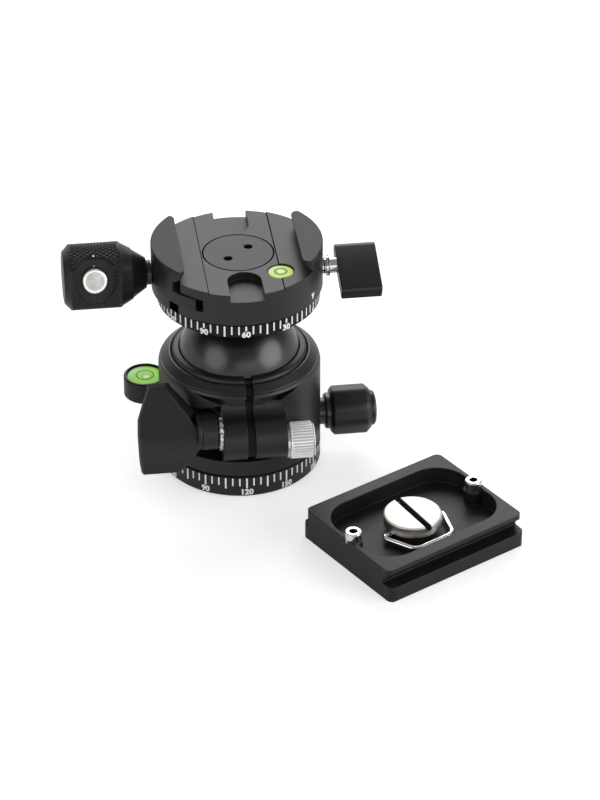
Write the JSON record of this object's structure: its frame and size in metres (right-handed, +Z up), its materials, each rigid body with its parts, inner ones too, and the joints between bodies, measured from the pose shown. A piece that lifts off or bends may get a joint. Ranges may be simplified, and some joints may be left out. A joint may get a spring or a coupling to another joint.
{
  "type": "tripod ball head",
  "caption": "Low-profile tripod ball head with two graduated pans, a round screw-jaw clamp, four knobs and a separate quick-release camera plate",
  "frame": {"origin": "mouth of the tripod thread, at the centre of the base's underside, on the table", "axes": "+Z up along the pan axis; -Y towards the clamp lug and the graduated front; +X towards the pan lock knob and the top lever, -X towards the locking paddle and the clamp knob"},
  "size_m": [0.1263, 0.1055, 0.0744],
  "materials": {
    "black_anodised": "matte bead-blasted black anodising",
    "ball_black": "satin black, smooth turned and anodised",
    "steel": "turned bright steel",
    "knurled_steel": "straight-knurled bright steel",
    "bronze": "plain bronze",
    "liner_plastic": "moulded low-friction plastic",
    "vial_green": "clear vial with green fluid"
  },
  "bodies": {
    "base": {"base_disc": "black_anodised", "thread_insert": "steel", "retaining_ring": "steel", "pan_washer": "liner_plastic"},
    "housing": {"housing": "black_anodised", "ball_collar": "black_anodised", "level_cup": "black_anodised", "level_vial": "vial_green", "lock_washer": "steel", "friction_washer": "steel"},
    "main_lock": {"lock_screw": "steel", "lock_collar": "black_anodised", "lock_paddle": "black_anodised"},
    "friction_adjuster": {"friction_screw": "steel", "friction_knob": "knurled_steel"},
    "pan_lock": {"pan_lock_screw": "black_anodised", "pan_lock_knob": "black_anodised", "pan_lock_cap": "black_anodised"},
    "pan_shoe": {"pan_lock_shoe": "bronze"},
    "liner": {"ball_liner": "liner_plastic"},
    "ball": {"ball": "ball_black", "stem_screw": "steel", "top_ring": "black_anodised", "centre_cap": "black_anodised"},
    "clamp": {"clamp_base": "black_anodised", "guide_pins": "steel", "clamp_vial": "vial_green"},
    "jaw": {"clamp_jaw": "black_anodised"},
    "clamp_knob": {"clamp_screw": "steel", "clamp_knob": "black_anodised", "knob_washer": "steel"},
    "button": {"release_button": "steel"},
    "top_lever": {"lever_shaft": "steel", "lever_grip": "black_anodised"},
    "top_shoe": {"lever_shoe": "bronze"},
    "plate": {"plate": "black_anodised", "stop_screws": "steel"},
    "camera_screw": {"camera_screw": "steel"},
    "finger_ring": {"finger_ring": "steel"}
  },
  "joints": [
    {"name": "pan", "type": "hinge", "parent": "base", "child": "housing", "pos_m": [0, 0, 0.007], "axis": [0, 0, 1], "continuous": true},
    {"name": "main_lock", "type": "hinge", "parent": "housing", "child": "main_lock", "pos_m": [-0.02, -0.0225, 0.0234], "axis": [1, 0, 0], "range_deg": [-5, 60]},
    {"name": "friction_adjuster", "type": "hinge", "parent": "housing", "child": "friction_adjuster", "pos_m": [0.015, -0.0225, 0.0181], "axis": [1, 0, 0], "continuous": true},
    {"name": "pan_lock", "type": "hinge", "parent": "housing", "child": "pan_lock", "pos_m": [0.03, 0, 0.0128], "axis": [1, 0, 0], "range_deg": [-180, 0]},
    {"name": "pan_shoe", "type": "slide", "parent": "housing", "child": "pan_shoe", "axis": [1, 0, 0], "range_m": [-0.00036, 0]},
    {"name": "ball_tilt_front", "type": "hinge", "parent": "housing", "child": "liner", "pos_m": [0, 0, 0.034], "axis": [1, 0, 0], "range_deg": [-35, 35]},
    {"name": "ball_tilt_side", "type": "hinge", "parent": "liner", "child": "ball", "pos_m": [0, 0, 0.034], "axis": [0, 1, 0], "range_deg": [-35, 35]},
    {"name": "top_pan", "type": "hinge", "parent": "ball", "child": "clamp", "pos_m": [0, 0, 0.06], "axis": [0, 0, 1], "continuous": true},
    {"name": "jaw", "type": "slide", "parent": "clamp", "child": "jaw", "axis": [1, 0, 0], "range_m": [-0.0018, 0.0018]},
    {"name": "clamp_knob", "type": "hinge", "parent": "jaw", "child": "clamp_knob", "pos_m": [-0.04, 0, 0.0648], "axis": [1, 0, 0], "range_deg": [-650, 650]},
    {"name": "release_button", "type": "slide", "parent": "clamp_knob", "child": "button", "axis": [0, 0.9397, -0.342], "range_m": [0, 0.0012], "stiffness_N_per_m": 400, "springref_m": -0.001},
    {"name": "top_lever", "type": "hinge", "parent": "clamp", "child": "top_lever", "pos_m": [0.035, 0, 0.0631], "axis": [1, 0, 0], "range_deg": [-90, 0]},
    {"name": "top_shoe", "type": "slide", "parent": "clamp", "child": "top_shoe", "axis": [1, 0, 0], "range_m": [-0.00031, 0]},
    {"name": "plate_lift", "type": "slide", "parent": "base", "child": "plate", "axis": [0, 0, 1], "range_m": [0, 0.09]},
    {"name": "camera_screw", "type": "hinge", "parent": "plate", "child": "camera_screw", "pos_m": [0.0437, -0.05319, 0.0108], "axis": [0, 0, 1], "continuous": true},
    {"name": "finger_ring", "type": "hinge", "parent": "camera_screw", "child": "finger_ring", "pos_m": [0.0437, -0.05319, 0.0065], "axis": [0.8746, 0.4848, 0], "range_deg": [-85, 0]}
  ],
  "couplings": [
    {"joint": "clamp_knob", "follows": "jaw", "rad_per_m": 6283.2},
    {"joint": "pan_shoe", "follows": "pan_lock", "m_per_rad": 0.0001114},
    {"joint": "top_shoe", "follows": "top_lever", "m_per_rad": 0.000191}
  ]
}
